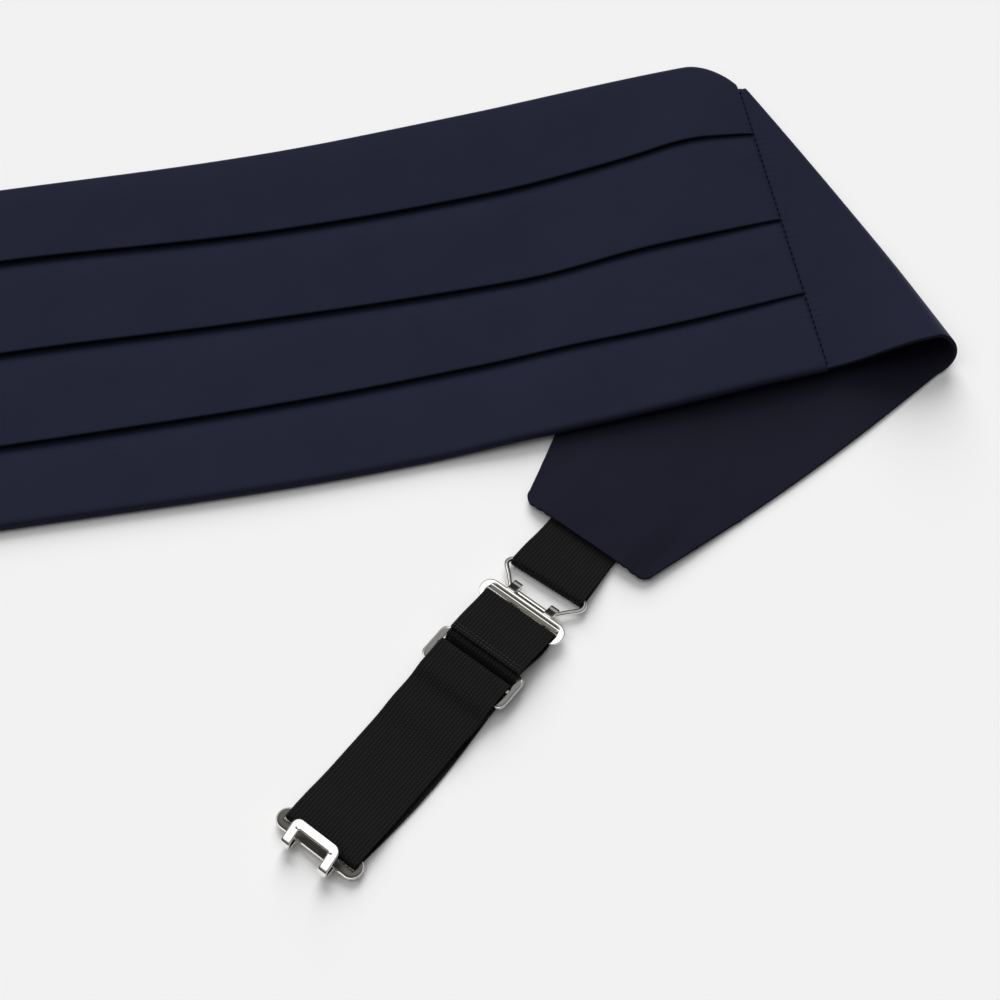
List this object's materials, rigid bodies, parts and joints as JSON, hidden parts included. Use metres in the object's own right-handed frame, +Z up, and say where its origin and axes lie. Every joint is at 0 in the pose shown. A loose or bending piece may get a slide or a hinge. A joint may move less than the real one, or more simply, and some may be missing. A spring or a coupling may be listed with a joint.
{
  "type": "cummerbund",
  "caption": "Pleated satin cummerbund lying flat, one side panel folded back under it, with elastic tabs, wire eyes and an adjustable hook strap.",
  "frame": {"origin": "middle of the laid-out cummerbund's box, on the surface it lies on", "axes": "+X along the pleated front towards the folded panel, +Y up the front's height, +Z up from the surface"},
  "size_m": [0.756, 0.2722, 0.0148],
  "materials": {
    "satin": "navy satin",
    "black_elastic": "ribbed black elastic",
    "nickel": "polished nickel plate"
  },
  "bodies": {
    "root": {"pleated_front": "satin", "side_panel_right": "satin", "side_panel_left": "satin", "elastic_tab_right": "black_elastic", "elastic_tab_left": "black_elastic", "eye_right": "nickel", "eye_left": "nickel", "hook_upper": "nickel", "adjustable_strap": "black_elastic", "strap_slide": "nickel", "hook_lower": "nickel"}
  },
  "joints": []
}
